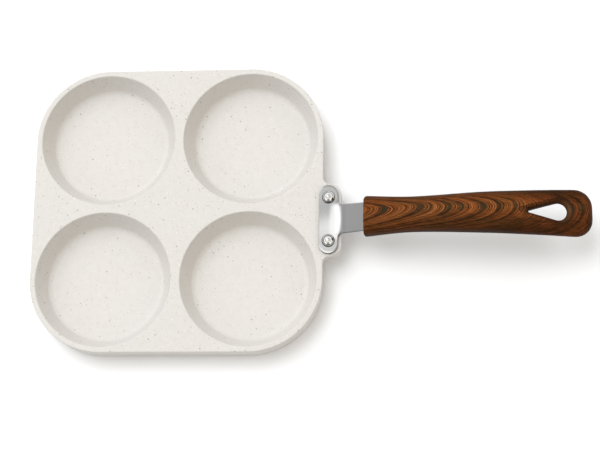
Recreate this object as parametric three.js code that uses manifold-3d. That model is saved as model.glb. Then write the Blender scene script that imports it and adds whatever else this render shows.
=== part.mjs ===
// Four-cup pancake pan: a coated casting, a riveted steel bracket and a moulded grip.
// Millimetres, +Z up. The pan stands on its cup floors at z = 0 with its centre over the origin,
// and the handle runs out along +X.

import * as THREE from 'three';
import { mergeVertices } from 'three/addons/utils/BufferGeometryUtils.js';
import Module from 'manifold-3d';

const wasm = await Module();
wasm.setup();

const degree = Math.PI / 180;

// Cups
const cupRimRadius = 44.4;
const cupDepth = 13.7;
const cupDraft = 26.4 * degree;
const cupGap = 5.5; // between the rims of neighbouring cups
const cupRimRound = 0.9;
const cupFloorFillet = 5.2;
const cupWall = 3;
const cupFloor = 4.3;
const footRound = 1.5;

// Deck and skirt
const rimBand = 3.45; // from a cup's rim to the pan's side
const deckWall = 3.2;
const skirtWall = 3;
const skirtLift = 1.5; // the skirt ends this far above the cup floors
const skirtDraft = 0.5;
const skirtFootRound = 0.8;
const panEdgeRound = 0.6;

// Lug that carries the handle
const handleLine = -8.9; // y of the handle's centre line: it sits off the middle of the pan's side
const lugThickness = 8;
const lugMargin = 1.45; // past each end of the flange
const lugLip = 2.3; // past the flange's outer edge
const lugCornerRadius = 7.5;
const lugFillet = 4.4;

// Rivets
const rivetInset = 8.3; // from each end of the flange
const rivetHeadDiameter = 8.4;
const rivetHeadHeight = 3.3;
const rivetShankDiameter = 4.8;
const rivetTailDiameter = 6.8;
const rivetTailHeight = 1.8;
const rivetClearance = 0.1;
const rivetTailClearance = 0.3; // from the upset tail to the pan's side

// Bracket
const plateThickness = 2;
const flangeLength = 45.5;
const flangeWidth = 12;
const tongueShow = 16.9; // bare length between the flange and the grip
const tongueRootWidth = 19.2;
const tongueWidth = 18.5; // where it enters the grip
const tongueTipWidth = 14;
const tongueTipRound = 3;
const tongueReach = 40; // inside the grip
const tongueRise = 19 * degree;
const neckFillet = 3;
const rootBendRadius = 12;
const gripBendRadius = 3;
const gripBendDepth = 0.6; // the second bend lies this far inside the grip

// Grip, with places measured from its front face
const gripLength = 144.4;
const gripPitch = 6.5 * degree; // slope of the tongue and screw inside the grip
const gripLift = 0.05; // the grip's centre lies this far above the tongue at the front face
const gripFrontWidth = 26.3;
const gripWaistWidth = 22.6;
const gripPalmWidth = 25.9;
const gripTailWidth = 30.3;
const gripFrontThickness = 19;
const gripWaistThickness = 17.5;
const gripPalmThickness = 18;
const gripTailThickness = 12.4;
const gripWaistAt = 30;
const gripPalmAt = 75;
const gripHeelAt = 105;
const gripTailAt = 131;
const gripWaistRise = 4;
const gripPalmRise = 7.6;
const gripHeelRise = 6.1;
const gripTailRise = 2.8;
const gripEndRise = 0.1;
const gripFrontRound = 2.5;
const gripTailCorner = 11.2; // corner radius of the tail seen from above
const gripTailRound = 5.2; // edge radius of the tail seen from the side
const gripSquareness = 2.5; // exponent of the section: 2 is an ellipse
const slotGap = 0.3;

// Hanging hole, a teardrop that points at the pan and flares out to both faces
const throatTipAt = 105.1;
const throatTipRadius = 1.2;
const throatEyeAt = 122.4;
const throatEyeRadius = 5.6;
const throatLift = 2.5; // the narrowest part lies this far above the grip's centre
const mouthTipAt = 99;
const mouthTipRadius = 1.8;
const mouthEyeAt = 123.7;
const mouthEyeRadius = 8.9;
const mouthLip = 0.3;

// Screw and spring washer inside the grip
const screwAt = 20;
const screwDiameter = 4;
const screwHeadDiameter = 7.4;
const screwHeadHeight = 2.2;
const screwHeadCrown = 0.8;
const screwTip = 2; // past the tongue
const screwGap = 0.2;
const driveWidth = 1;
const driveSpan = 4.4;
const driveDepth = 1.1;
const webThickness = 2.4; // grip material between the tongue and the washer
const counterboreGap = 0.6;
const washerDiameter = 7;
const washerThickness = 1;
const washerSplit = 25 * degree;

// Fineness of curves
const cupSteps = 48;
const cornerSteps = 12;
const roundSteps = 3;
const arcStep = 15 * degree;
const cupArcStep = 16 * degree;
const bendStep = 4 * degree;
const rivetSteps = 24;
const screwSteps = 24;
const domeSteps = 4;
const gripSteps = 32;
const gripFrontSteps = 3;
const gripBodySteps = 15;
const gripTailSteps = 7;
const eyeSteps = 20;
const tipSteps = 6;
const flareSteps = 4;
const weld = 1e-4; // points nearer than this are one
const overrun = 5; // how far a cutter passes the face that it cuts

// Places worked out from the sizes above
const deckHeight = cupFloor + cupDepth;
const cupCentre = cupRimRadius + cupGap / 2;
const cornerRadius = cupRimRadius + rimBand;
const panHalf = cupCentre + cornerRadius;
const lugBottom = deckHeight - lugThickness;
const flangeTop = deckHeight + plateThickness;
const rivetX = panHalf + rivetTailDiameter / 2 + rivetTailClearance;
const flangeInner = rivetX - flangeWidth / 2;
const flangeOuter = rivetX + flangeWidth / 2;
const lugOuter = flangeOuter + lugLip;
const gripFront = flangeOuter + tongueShow;
const tongueEnd = gripFront + tongueReach;
const plateMiddle = deckHeight + plateThickness / 2;
const gripBendX = gripFront + gripBendDepth;
const gripBendZ = plateMiddle + (gripBendX - flangeOuter) * Math.tan(tongueRise);
const tongueHeight = (x) => gripBendZ + (x - gripBendX) * Math.tan(gripPitch);
const gripFrontZ = tongueHeight(gripFront) + gripLift;
const rivetReach = flangeLength / 2 - rivetInset;
const rivetYs = { left: handleLine + rivetReach, right: handleLine - rivetReach };

// Line through corners given as [x, y, radius], each turned in an arc of its radius.
function roundedLine(corners, closed, stepAngle = arcStep) {
  const points = [];
  const count = corners.length;
  const add = (point) => {
    if (!points.length || points[points.length - 1].distanceTo(point) > weld) {
      points.push(point);
    }
  };
  corners.forEach(([x, y, radius], i) => {
    const here = new THREE.Vector2(x, y);
    if (!radius || (!closed && (i === 0 || i === count - 1))) {
      add(here);
      return;
    }
    const back = new THREE.Vector2(...corners[(i + count - 1) % count]).sub(here).normalize();
    const on = new THREE.Vector2(...corners[(i + 1) % count]).sub(here).normalize();
    const turn = Math.PI - Math.acos(back.dot(on));
    const middle = back.clone().add(on).normalize();
    const centre = here.clone().addScaledVector(middle, radius / Math.cos(turn / 2));
    const start = here.clone().addScaledVector(back, radius * Math.tan(turn / 2));
    const steps = Math.max(2, Math.ceil(turn / stepAngle));
    const sweep = -Math.sign(back.cross(on)) * turn;
    for (let k = 0; k <= steps; k += 1) {
      add(start.clone().rotateAround(centre, (sweep * k) / steps));
    }
  });
  return points;
}

// Quarter round as steps of { inset, drop } from the side of an edge up to its top.
function edgeRound(radius, steps = roundSteps) {
  return Array.from({ length: steps + 1 }, (_, k) => {
    const angle = (k / steps) * (Math.PI / 2);
    return { inset: radius * (1 - Math.cos(angle)), drop: radius * (1 - Math.sin(angle)) };
  });
}

// Spherical cap from its rim at height base to its pole; a negative height points down.
function dome(radius, height, base) {
  const rise = Math.abs(height);
  const sphere = (radius * radius + rise * rise) / (2 * rise);
  const widest = Math.acos((sphere - rise) / sphere);
  return Array.from({ length: domeSteps + 1 }, (_, k) => {
    const angle = widest * (1 - k / domeSteps);
    const lift = sphere * Math.cos(angle) - (sphere - rise);
    return new THREE.Vector2(sphere * Math.sin(angle), base + Math.sign(height) * lift);
  });
}

// Smooth curve through [place, value] stations, with slopes taken from the neighbours.
function smoothThrough(stations, place) {
  const last = stations.length - 1;
  const slope = (i) => {
    const [x0, y0] = stations[Math.max(i - 1, 0)];
    const [x1, y1] = stations[Math.min(i + 1, last)];
    return (y1 - y0) / (x1 - x0);
  };
  let i = 0;
  while (i < last - 1 && place > stations[i + 1][0]) {
    i += 1;
  }
  const [x0, y0] = stations[i];
  const [x1, y1] = stations[i + 1];
  const span = x1 - x0;
  const t = THREE.MathUtils.clamp((place - x0) / span, 0, 1);
  const first = (1 + 2 * t) * (1 - t) ** 2 * y0 + t * (1 - t) ** 2 * span * slope(i);
  return first + t * t * (3 - 2 * t) * y1 + t * t * (t - 1) * span * slope(i + 1);
}

// Body between rings of equal count, each running counter-clockwise about the direction of the rings.
// flatten drops that direction, so that the two ends can be closed.
function loft(rings, flatten = ({ x, y }) => new THREE.Vector2(x, y)) {
  const count = rings[0].length;
  const top = (rings.length - 1) * count;
  const index = [];
  for (let base = 0; base < top; base += count) {
    for (let i = 0; i < count; i += 1) {
      const a = base + i;
      const b = base + ((i + 1) % count);
      index.push(a, b, b + count, a, b + count, a + count);
    }
  }
  for (const [base, faceUp] of [[0, false], [top, true]]) {
    const flat = rings[base / count].map(flatten);
    for (const face of THREE.ShapeUtils.triangulateShape(flat, [])) {
      const isUp = THREE.ShapeUtils.area(face.map((i) => flat[i])) > 0;
      const corners = isUp === faceUp ? face : face.toReversed();
      index.push(...corners.map((i) => base + i));
    }
  }
  const geometry = new THREE.BufferGeometry().setFromPoints(rings.flat());
  geometry.setIndex(index);
  return geometry;
}

// Profile of [radius, height] turned about Z.
function turned(profile, steps) {
  return new THREE.LatheGeometry(profile, steps).rotateX(Math.PI / 2);
}

// Cylinder along Z between two heights.
function rod(radius, bottom, top, steps) {
  const geometry = new THREE.CylinderGeometry(radius, radius, top - bottom, steps).rotateX(Math.PI / 2);
  return geometry.translate(0, 0, (top + bottom) / 2);
}

// Outline in plan carried up from one height to another.
function plate(outline, bottom, top) {
  const settings = { depth: top - bottom, bevelEnabled: false };
  return new THREE.ExtrudeGeometry(new THREE.Shape(outline), settings).translate(0, 0, bottom);
}

// Outline in the XZ plane carried across the handle's centre line.
function acrossHandle(outline, width) {
  const settings = { depth: width, bevelEnabled: false };
  const geometry = new THREE.ExtrudeGeometry(new THREE.Shape(outline), settings).rotateX(Math.PI / 2);
  return geometry.translate(0, handleLine + width / 2, 0);
}

// Closed geometry as a body that can be joined and cut.
function solid(geometry) {
  const bare = geometry.clone();
  bare.deleteAttribute('normal');
  bare.deleteAttribute('uv');
  const merged = mergeVertices(bare, weld);
  const corners = merged.index.array;
  const triangles = [];
  for (let i = 0; i < corners.length; i += 3) {
    const [a, b, c] = corners.slice(i, i + 3);
    if (a !== b && b !== c && c !== a) {
      triangles.push(a, b, c);
    }
  }
  return new wasm.Manifold(new wasm.Mesh({
    numProp: 3,
    vertProperties: new Float32Array(merged.attributes.position.array),
    triVerts: new Uint32Array(triangles),
  }));
}

function meshOf(name, body, material) {
  const { vertProperties, triVerts } = body.getMesh();
  const geometry = new THREE.BufferGeometry();
  geometry.setAttribute('position', new THREE.BufferAttribute(vertProperties, 3));
  geometry.setIndex(new THREE.BufferAttribute(triVerts, 1));
  geometry.computeVertexNormals();
  const mesh = new THREE.Mesh(geometry, material);
  mesh.name = name;
  return mesh;
}

// Square with round corners, drawn in by an inset all round.
function panRing(inset, z) {
  const centre = panHalf - cornerRadius;
  const radius = cornerRadius - inset;
  const ring = [];
  for (let corner = 0; corner < 4; corner += 1) {
    const middle = (corner + 0.5) * (Math.PI / 2);
    const x = Math.SQRT2 * centre * Math.cos(middle);
    const y = Math.SQRT2 * centre * Math.sin(middle);
    for (let k = 0; k <= cornerSteps; k += 1) {
      const angle = (corner + k / cornerSteps) * (Math.PI / 2);
      ring.push(new THREE.Vector3(x + radius * Math.cos(angle), y + radius * Math.sin(angle), z));
    }
  }
  return ring;
}

// Outside of the tray: a drafted skirt with a rounded foot and a rounded top edge.
function trayOutside() {
  const foot = edgeRound(skirtFootRound).reverse();
  const top = edgeRound(panEdgeRound);
  return loft([
    ...foot.map(({ inset, drop }) => panRing(skirtDraft + inset, skirtLift + drop)),
    ...top.map(({ inset, drop }) => panRing(inset, deckHeight - drop)),
  ]);
}

// Lug outline, drawn in by an inset: round outer corners and hollow fillets to the pan's side.
function lugRing(inset, z) {
  const half = flangeLength / 2 + lugMargin;
  const side = panHalf - inset;
  const outer = lugOuter - inset;
  const root = panHalf - skirtWall;
  const edge = (sign) => [
    [root, handleLine + sign * (half + lugFillet), 0],
    [side, handleLine + sign * (half + lugFillet), 0],
    [side, handleLine + sign * (half - inset), lugFillet + inset],
    [outer, handleLine + sign * (half - inset), lugCornerRadius - inset],
  ];
  const outline = roundedLine([...edge(-1), ...edge(1).reverse()], true);
  return outline.map(({ x, y }) => new THREE.Vector3(x, y, z));
}

// Lug, level with the deck and rounded along its edges as the pan is.
function lugOutside() {
  const edge = edgeRound(panEdgeRound);
  return loft([
    ...edge.toReversed().map(({ inset, drop }) => lugRing(inset, lugBottom + drop)),
    ...edge.map(({ inset, drop }) => lugRing(inset, deckHeight - drop)),
  ]);
}

// A cup's inner wall leans out by its draft; its outer wall runs parallel to it.
const cupInnerRadius = (z) => cupRimRadius - (deckHeight - z) * Math.tan(cupDraft);
const cupOuterRadius = (z) => cupInnerRadius(z) + cupWall / Math.cos(cupDraft);

function cupOutside() {
  const top = deckHeight - deckWall / 2;
  return turned(roundedLine([
    [0, 0, 0],
    [cupOuterRadius(0), 0, footRound],
    [cupOuterRadius(top), top, 0],
    [0, top, 0],
  ], false, cupArcStep), cupSteps);
}

function cupInside() {
  const brim = cupRimRadius + cupRimRound;
  return turned(roundedLine([
    [0, cupFloor, 0],
    [cupInnerRadius(cupFloor), cupFloor, cupFloorFillet],
    [cupRimRadius, deckHeight, cupRimRound],
    [brim, deckHeight, 0],
    [brim, deckHeight + overrun, 0],
    [0, deckHeight + overrun, 0],
  ], false, cupArcStep), cupSteps);
}

function cutRivetHoles(body) {
  const radius = rivetShankDiameter / 2 + rivetClearance;
  return Object.values(rivetYs).reduce((rest, y) => {
    const cutter = rod(radius, lugBottom - overrun, flangeTop + overrun, rivetSteps);
    return rest.subtract(solid(cutter.translate(rivetX, y, 0)));
  }, body);
}

function panBody() {
  const cavityTop = deckHeight - deckWall;
  const inset = skirtDraft + skirtWall;
  const cavity = loft([panRing(inset, skirtLift - overrun), panRing(inset, cavityTop)]);
  let body = solid(trayOutside()).add(solid(lugOutside())).subtract(solid(cavity));
  const places = [[1, 1], [-1, 1], [-1, -1], [1, -1]].map(([x, y]) => [x * cupCentre, y * cupCentre, 0]);
  for (const place of places) {
    body = body.add(solid(cupOutside().translate(...place)));
  }
  for (const place of places) {
    body = body.subtract(solid(cupInside().translate(...place)));
  }
  return cutRivetHoles(body);
}

// Side view of the bracket's plate: flat flange, bend up, bend back to the slope of the grip.
function plateStrip(thickness) {
  const line = roundedLine([
    [flangeInner - overrun, plateMiddle, 0],
    [flangeOuter, plateMiddle, rootBendRadius],
    [gripBendX, gripBendZ, gripBendRadius],
    [tongueEnd + overrun, tongueHeight(tongueEnd + overrun), 0],
  ], false, bendStep);
  const side = (distance) => line.map((point, i) => {
    const before = line[Math.max(i - 1, 0)];
    const after = line[Math.min(i + 1, line.length - 1)];
    const along = after.clone().sub(before).normalize();
    return new THREE.Vector2(point.x - distance * along.y, point.y + distance * along.x);
  });
  const upper = side(thickness / 2);
  const lower = side(-thickness / 2);
  return solid(acrossHandle([...lower, ...upper.reverse()], flangeLength + 2 * overrun));
}

// Screw frame: on the tongue, square to it.
const screwX = gripFront + screwAt;
const screwPlace = new THREE.Vector3(screwX, handleLine, tongueHeight(screwX));
const screwMatrix = new THREE.Matrix4().makeRotationY(-gripPitch).setPosition(screwPlace);
const washerSeat = -(plateThickness / 2 + slotGap + webThickness);
const washerBottom = washerSeat - screwGap - washerThickness;
const headTop = washerBottom - screwGap;
const headBottom = headTop - screwHeadHeight;
const screwEnd = plateThickness / 2 + screwTip;

function handleBracket() {
  const half = flangeLength / 2;
  const end = flangeWidth / 2;
  const line = (sign) => [
    [flangeInner, handleLine + sign * half, end],
    [flangeOuter, handleLine + sign * half, end],
    [flangeOuter, handleLine + sign * (tongueRootWidth / 2), neckFillet],
    [gripFront, handleLine + sign * (tongueWidth / 2), 0],
    [tongueEnd, handleLine + sign * (tongueTipWidth / 2), tongueTipRound],
  ];
  const outline = roundedLine([...line(-1), ...line(1).reverse()], true);
  const highest = tongueHeight(tongueEnd) + overrun;
  let body = plateStrip(plateThickness).intersect(solid(plate(outline, deckHeight - overrun, highest)));
  body = cutRivetHoles(body);
  const tapped = rod(screwDiameter / 2 + screwGap, -overrun, overrun, screwSteps);
  return body.subtract(solid(tapped.applyMatrix4(screwMatrix)));
}

function rivet(y) {
  const shank = rivetShankDiameter / 2;
  const profile = [
    ...dome(rivetTailDiameter / 2, -rivetTailHeight, lugBottom).reverse(),
    new THREE.Vector2(shank, lugBottom),
    new THREE.Vector2(shank, flangeTop),
    ...dome(rivetHeadDiameter / 2, rivetHeadHeight, flangeTop),
  ];
  return solid(turned(profile, rivetSteps).translate(rivetX, y, 0));
}

// Half width, half thickness and centre height of the grip at a distance from its front face.
function gripSection(at) {
  const width = smoothThrough([
    [0, gripFrontWidth],
    [gripWaistAt, gripWaistWidth],
    [gripPalmAt, gripPalmWidth],
    [gripTailAt, gripTailWidth],
  ], at);
  const thickness = smoothThrough([
    [0, gripFrontThickness],
    [gripWaistAt, gripWaistThickness],
    [gripPalmAt, gripPalmThickness],
    [gripTailAt, gripTailThickness],
  ], at);
  const rise = smoothThrough([
    [0, 0],
    [gripWaistAt, gripWaistRise],
    [gripPalmAt, gripPalmRise],
    [gripHeelAt, gripHeelRise],
    [gripTailAt, gripTailRise],
    [gripLength, gripEndRise],
  ], at);
  const shrink = (radius, past) => {
    const depth = THREE.MathUtils.clamp(past, 0, radius);
    return radius - Math.sqrt(radius * radius - depth * depth);
  };
  const front = shrink(gripFrontRound, gripFrontRound - at);
  const corner = shrink(gripTailCorner, at - (gripLength - gripTailCorner));
  const edge = shrink(gripTailRound, at - (gripLength - gripTailRound));
  return {
    halfWidth: width / 2 - front - corner,
    halfThickness: thickness / 2 - front - edge,
    centre: gripFrontZ + rise,
  };
}

// Rounded-square section, drawn as a superellipse.
function gripRing(at) {
  const { halfWidth, halfThickness, centre } = gripSection(at);
  const squared = (value) => Math.sign(value) * Math.abs(value) ** (2 / gripSquareness);
  return Array.from({ length: gripSteps }, (_, k) => {
    const angle = ((k + 0.5) / gripSteps) * 2 * Math.PI;
    const y = handleLine + halfWidth * squared(Math.cos(angle));
    return new THREE.Vector3(gripFront + at, y, centre + halfThickness * squared(Math.sin(angle)));
  });
}

function gripBlank() {
  const bodyEnd = gripLength - gripTailCorner;
  const places = [];
  for (let k = 0; k < gripFrontSteps; k += 1) {
    places.push(gripFrontRound * (1 - Math.cos((k / gripFrontSteps) * (Math.PI / 2))));
  }
  for (let k = 0; k < gripBodySteps; k += 1) {
    places.push(gripFrontRound + (k / gripBodySteps) * (bodyEnd - gripFrontRound));
  }
  for (let k = 0; k <= gripTailSteps; k += 1) {
    places.push(bodyEnd + gripTailCorner * Math.sin((k / gripTailSteps) * (Math.PI / 2)));
  }
  return solid(loft(places.map(gripRing), ({ y, z }) => new THREE.Vector2(y, z)));
}

// Teardrop in plan: arcs round a tip and an eye, joined by their common tangents.
function teardrop(tipAt, tipRadius, eyeAt, eyeRadius) {
  const tangent = Math.PI / 2 + Math.asin((eyeRadius - tipRadius) / (eyeAt - tipAt));
  const point = (at, radius, angle) => (
    new THREE.Vector2(at + radius * Math.cos(angle), radius * Math.sin(angle))
  );
  const points = [];
  for (let k = 0; k <= eyeSteps; k += 1) {
    points.push(point(eyeAt, eyeRadius, tangent * ((2 * k) / eyeSteps - 1)));
  }
  for (let k = 0; k <= tipSteps; k += 1) {
    points.push(point(tipAt, tipRadius, tangent + (k / tipSteps) * 2 * (Math.PI - tangent)));
  }
  return points;
}

// Hanging hole: the throat curls out, above and below, to a mouth that lies on the grip's skin.
function hangingHole() {
  const throat = teardrop(throatTipAt, throatTipRadius, throatEyeAt, throatEyeRadius);
  const mouth = teardrop(mouthTipAt, mouthTipRadius, mouthEyeAt, mouthEyeRadius);
  const skin = mouth.map(({ x, y }) => {
    const { halfWidth, halfThickness, centre } = gripSection(x);
    const share = 1 - Math.abs(y / halfWidth) ** gripSquareness;
    return { centre, depth: halfThickness * share ** (1 / gripSquareness) - mouthLip };
  });
  const ring = (inward, height) => mouth.map((point, i) => {
    const { x, y } = point.clone().lerp(throat[i], inward);
    return new THREE.Vector3(gripFront + x, handleLine + y, skin[i].centre + height(skin[i].depth));
  });
  const flare = (side) => edgeRound(1, flareSteps).map(({ inset, drop }) => (
    ring(1 - drop, (depth) => throatLift + (1 - inset) * (side * depth - throatLift))
  ));
  const past = (side) => ring(0, (depth) => side * (depth + overrun));
  return solid(loft([past(-1), ...flare(-1), ...flare(1).reverse().slice(1), past(1)]));
}

// Slot for the tongue, wider than it by the slot gap all round.
function tongueSlot() {
  const front = gripFront - overrun;
  const outline = [
    new THREE.Vector2(front, handleLine - tongueWidth / 2 - slotGap),
    new THREE.Vector2(gripFront, handleLine - tongueWidth / 2 - slotGap),
    new THREE.Vector2(tongueEnd + slotGap, handleLine - tongueTipWidth / 2 - slotGap),
    new THREE.Vector2(tongueEnd + slotGap, handleLine + tongueTipWidth / 2 + slotGap),
    new THREE.Vector2(gripFront, handleLine + tongueWidth / 2 + slotGap),
    new THREE.Vector2(front, handleLine + tongueWidth / 2 + slotGap),
  ];
  const highest = tongueHeight(tongueEnd) + overrun;
  const strip = plateStrip(plateThickness + 2 * slotGap);
  return strip.intersect(solid(plate(outline, deckHeight - overrun, highest)));
}

function handleGrip() {
  const { halfThickness } = gripSection(screwAt);
  const outside = -(halfThickness + overrun);
  const counterbore = rod(screwHeadDiameter / 2 + counterboreGap, outside, washerSeat, screwSteps);
  const bore = rod(screwDiameter / 2 + screwGap, washerSeat - overrun, screwEnd + screwGap, screwSteps);
  return gripBlank()
    .subtract(hangingHole())
    .subtract(tongueSlot())
    .subtract(solid(counterbore.applyMatrix4(screwMatrix)))
    .subtract(solid(bore.applyMatrix4(screwMatrix)));
}

// Pan-head screw with a cross recess, head down.
function gripScrew() {
  const head = screwHeadDiameter / 2;
  const shank = screwDiameter / 2;
  const profile = [
    ...dome(head, -screwHeadCrown, headBottom + screwHeadCrown).reverse(),
    new THREE.Vector2(head, headTop),
    new THREE.Vector2(shank, headTop),
    new THREE.Vector2(shank, screwEnd - shank / 2),
    new THREE.Vector2(shank / 2, screwEnd),
    new THREE.Vector2(0, screwEnd),
  ];
  let body = solid(turned(profile, screwSteps));
  for (const [x, y] of [[driveSpan, driveWidth], [driveWidth, driveSpan]]) {
    const bit = new THREE.BoxGeometry(x, y, 2 * driveDepth).translate(0, 0, headBottom);
    body = body.subtract(solid(bit));
  }
  return body;
}

// Spring washer: a ring with a split.
function springWasher() {
  const outer = washerDiameter / 2;
  const inner = screwDiameter / 2 + screwGap;
  const outline = new THREE.Shape();
  outline.absarc(0, 0, outer, washerSplit / 2, 2 * Math.PI - washerSplit / 2, false);
  outline.absarc(0, 0, inner, 2 * Math.PI - washerSplit / 2, washerSplit / 2, true);
  return solid(plate(outline.getPoints(screwSteps), washerBottom, washerBottom + washerThickness));
}

const coating = new THREE.MeshStandardMaterial({ color: '#ece8e1', roughness: 0.45, metalness: 0 });
const steel = new THREE.MeshStandardMaterial({ color: '#c4c4c3', roughness: 0.28, metalness: 1 });
const rivetMetal = new THREE.MeshStandardMaterial({ color: '#d2d2d0', roughness: 0.18, metalness: 1 });
const woodPrint = new THREE.MeshStandardMaterial({ color: '#6f3c1f', roughness: 0.42, metalness: 0 });
const zinc = new THREE.MeshStandardMaterial({ color: '#aeb0b2', roughness: 0.35, metalness: 1 });

const fastening = new THREE.Group();
fastening.position.copy(screwPlace);
fastening.rotation.y = -gripPitch;
fastening.add(meshOf('grip_screw', gripScrew(), zinc.clone()));
fastening.add(meshOf('screw_spring_washer', springWasher(), zinc.clone()));

const pan = new THREE.Group();
pan.add(meshOf('pan_body', panBody(), coating));
pan.add(meshOf('handle_bracket', handleBracket(), steel));
for (const [side, y] of Object.entries(rivetYs)) {
  pan.add(meshOf(`bracket_rivet_${side}`, rivet(y), rivetMetal.clone()));
}
pan.add(meshOf('handle_grip', handleGrip(), woodPrint));
pan.add(fastening);

export default pan;
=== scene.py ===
import math

import bpy
import numpy as np
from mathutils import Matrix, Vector


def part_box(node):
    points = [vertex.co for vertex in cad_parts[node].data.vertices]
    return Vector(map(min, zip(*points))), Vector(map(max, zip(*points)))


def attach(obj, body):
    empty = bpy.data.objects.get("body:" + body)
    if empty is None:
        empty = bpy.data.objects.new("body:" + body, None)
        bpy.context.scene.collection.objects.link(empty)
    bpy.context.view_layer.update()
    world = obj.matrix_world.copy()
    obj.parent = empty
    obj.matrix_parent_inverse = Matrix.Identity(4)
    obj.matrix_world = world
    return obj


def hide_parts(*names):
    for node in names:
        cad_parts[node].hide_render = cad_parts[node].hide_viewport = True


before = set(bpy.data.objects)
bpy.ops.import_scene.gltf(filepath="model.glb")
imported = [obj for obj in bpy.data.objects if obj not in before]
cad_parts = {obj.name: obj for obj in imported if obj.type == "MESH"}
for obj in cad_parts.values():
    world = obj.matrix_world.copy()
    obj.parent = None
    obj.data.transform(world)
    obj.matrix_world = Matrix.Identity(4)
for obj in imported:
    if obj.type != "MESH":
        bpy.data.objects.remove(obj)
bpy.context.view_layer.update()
mm = 0.001
fullTurn = 2 * math.pi
weld = mm / 1000  # points in one cell of this size become one
quarter = np.linspace(0, math.pi / 2, 9)  # angles of a rounded edge
print("frame:", ", ".join(sorted(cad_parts)))

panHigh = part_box("pan_body")[1]
plateLow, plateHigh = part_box("handle_bracket")
gripLow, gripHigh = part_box("handle_grip")
gripLength = gripHigh.x - gripLow.x
handleLine = (gripLow.y + gripHigh.y) / 2  # y of the handle's centre line
flangeTop = plateLow.z + 2 * mm  # the rivet heads sit on it


# Shapes

# Grid of points, rows by columns by xyz, with its map coordinates and a mark: its depth in a hole, or the
# plate's painted edge shade.
# It faces along (step to the next row) x (step to the next column), or the other way if flipped.
def gridPatch(points, uv=None, wrap=False, flip=False, skip=None, mark=0.0):
    points = np.asarray(points, float)
    rows, cols = points.shape[:2]
    index = np.arange(rows * cols).reshape(rows, cols)
    if wrap:
        index = np.concatenate([index, index[:, :1]], axis=1)
    quads = np.stack([index[:-1, :-1], index[1:, :-1], index[1:, 1:], index[:-1, 1:]], axis=-1)
    if skip is not None:
        quads = quads[~skip]
    quads = quads.reshape(-1, 4)
    uv = points[..., :2] if uv is None else np.asarray(uv, float)
    mark = np.broadcast_to(np.asarray(mark, float), (rows, cols))
    return {
        "points": points.reshape(-1, 3),
        "quads": quads[:, ::-1] if flip else quads,
        "uv": uv.reshape(-1, 2),
        "mark": mark.reshape(-1),
    }


def addObject(name, data):
    added = bpy.data.objects.new(name, data)
    bpy.context.scene.collection.objects.link(added)
    return added


# Patches welded into one skin: points in the same cell of a fine lattice become one vertex,
# and a quad that loses a corner becomes a triangle or goes.
def makePiece(name, node, slotName, patches):
    points, uv, mark = (np.concatenate([p[key] for p in patches]) for key in ("points", "uv", "mark"))
    starts = np.cumsum([0] + [len(p["points"]) for p in patches[:-1]])
    quads = np.concatenate([p["quads"] + s for p, s in zip(patches, starts)])
    lattice = np.floor(points / weld + 0.137).astype(np.int64)  # shifted off the round values
    _, first, merged = np.unique(lattice, axis=0, return_index=True, return_inverse=True)
    corners = merged.reshape(-1)[quads]
    kept = corners != np.roll(corners, 1, axis=1)
    whole = kept.sum(axis=1) > 2
    corners, kept, quads = corners[whole], kept[whole], quads[whole]
    sides = kept.sum(axis=1)
    mesh = bpy.data.meshes.new(name)
    mesh.vertices.add(len(first))
    mesh.vertices.foreach_set("co", points[first].astype(np.float32).ravel())
    mesh.loops.add(int(sides.sum()))
    mesh.loops.foreach_set("vertex_index", corners[kept].astype(np.int32))
    mesh.polygons.add(len(sides))
    mesh.polygons.foreach_set("loop_start", (np.cumsum(sides) - sides).astype(np.int32))
    mesh.polygons.foreach_set("use_smooth", np.ones(len(sides), bool))
    mesh.uv_layers.new(name="grain").data.foreach_set("uv", uv[quads[kept]].astype(np.float32).ravel())
    deep = mesh.attributes.new("deep", "FLOAT", "POINT")
    deep.data.foreach_set("value", mark[first].astype(np.float32))
    mesh.update(calc_edges=True)
    mesh.validate()
    mesh.materials.append(paints[slotName])
    piece = addObject(name, mesh)
    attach(piece, "root")
    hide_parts(node)
    print("piece:", name, len(mesh.polygons), "faces")


def unit(vectors):
    return vectors / np.linalg.norm(vectors, axis=-1, keepdims=True)


# Line through corners (x, y, radius), each corner turned in an arc of its radius.
def roundedLine(corners, steps=8):
    corners = np.array(corners, float)
    line = [corners[:1, :2]]
    for before, here, after in zip(corners, corners[1:], corners[2:]):
        corner, radius = here[:2], here[2]
        back, on = unit(before[:2] - corner), unit(after[:2] - corner)
        half = math.acos(np.clip(back @ on, -1, 1)) / 2
        centre = corner + unit(back + on) * radius / math.sin(half)
        arm = corner + back * radius / math.tan(half) - centre
        side = np.sign(on[0] * back[1] - on[1] * back[0])
        angle = side * np.linspace(0, math.pi - 2 * half, steps + 1)
        line.append(centre + asPoints(arm[0] * np.cos(angle) - arm[1] * np.sin(angle),
                                      arm[0] * np.sin(angle) + arm[1] * np.cos(angle)))
    return np.concatenate(line + [corners[-1:, :2]])


# Soft step from 0 to 1.
def smooth(t):
    t = np.clip(t, 0, 1)
    return t * t * (3 - 2 * t)


# Straight blend of two arrays of points, one row for each share.
def rowsBetween(a, b, shares):
    t = np.asarray(shares, float)[:, None, None]
    return a[None] * (1 - t) + b[None] * t


# Arrays of coordinates, of any shapes that fit together, as one array of points.
def asPoints(*parts):
    return np.stack(np.broadcast_arrays(*(np.asarray(part, float) for part in parts)), axis=-1)


# Points of a plan at their heights.
def lifted(plan, z):
    return asPoints(plan[..., 0], plan[..., 1], z)


# Profile (radius, height), from the top down, turned about a vertical line.
def turned(profile, place, steps=96):
    angle = np.linspace(0, fullTurn, steps, endpoint=False)
    r, z = profile[:, :1], profile[:, 1:]
    points = asPoints(place[0] + r * np.cos(angle), place[1] + r * np.sin(angle), z)
    return gridPatch(points, wrap=True)


# Shading

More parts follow.
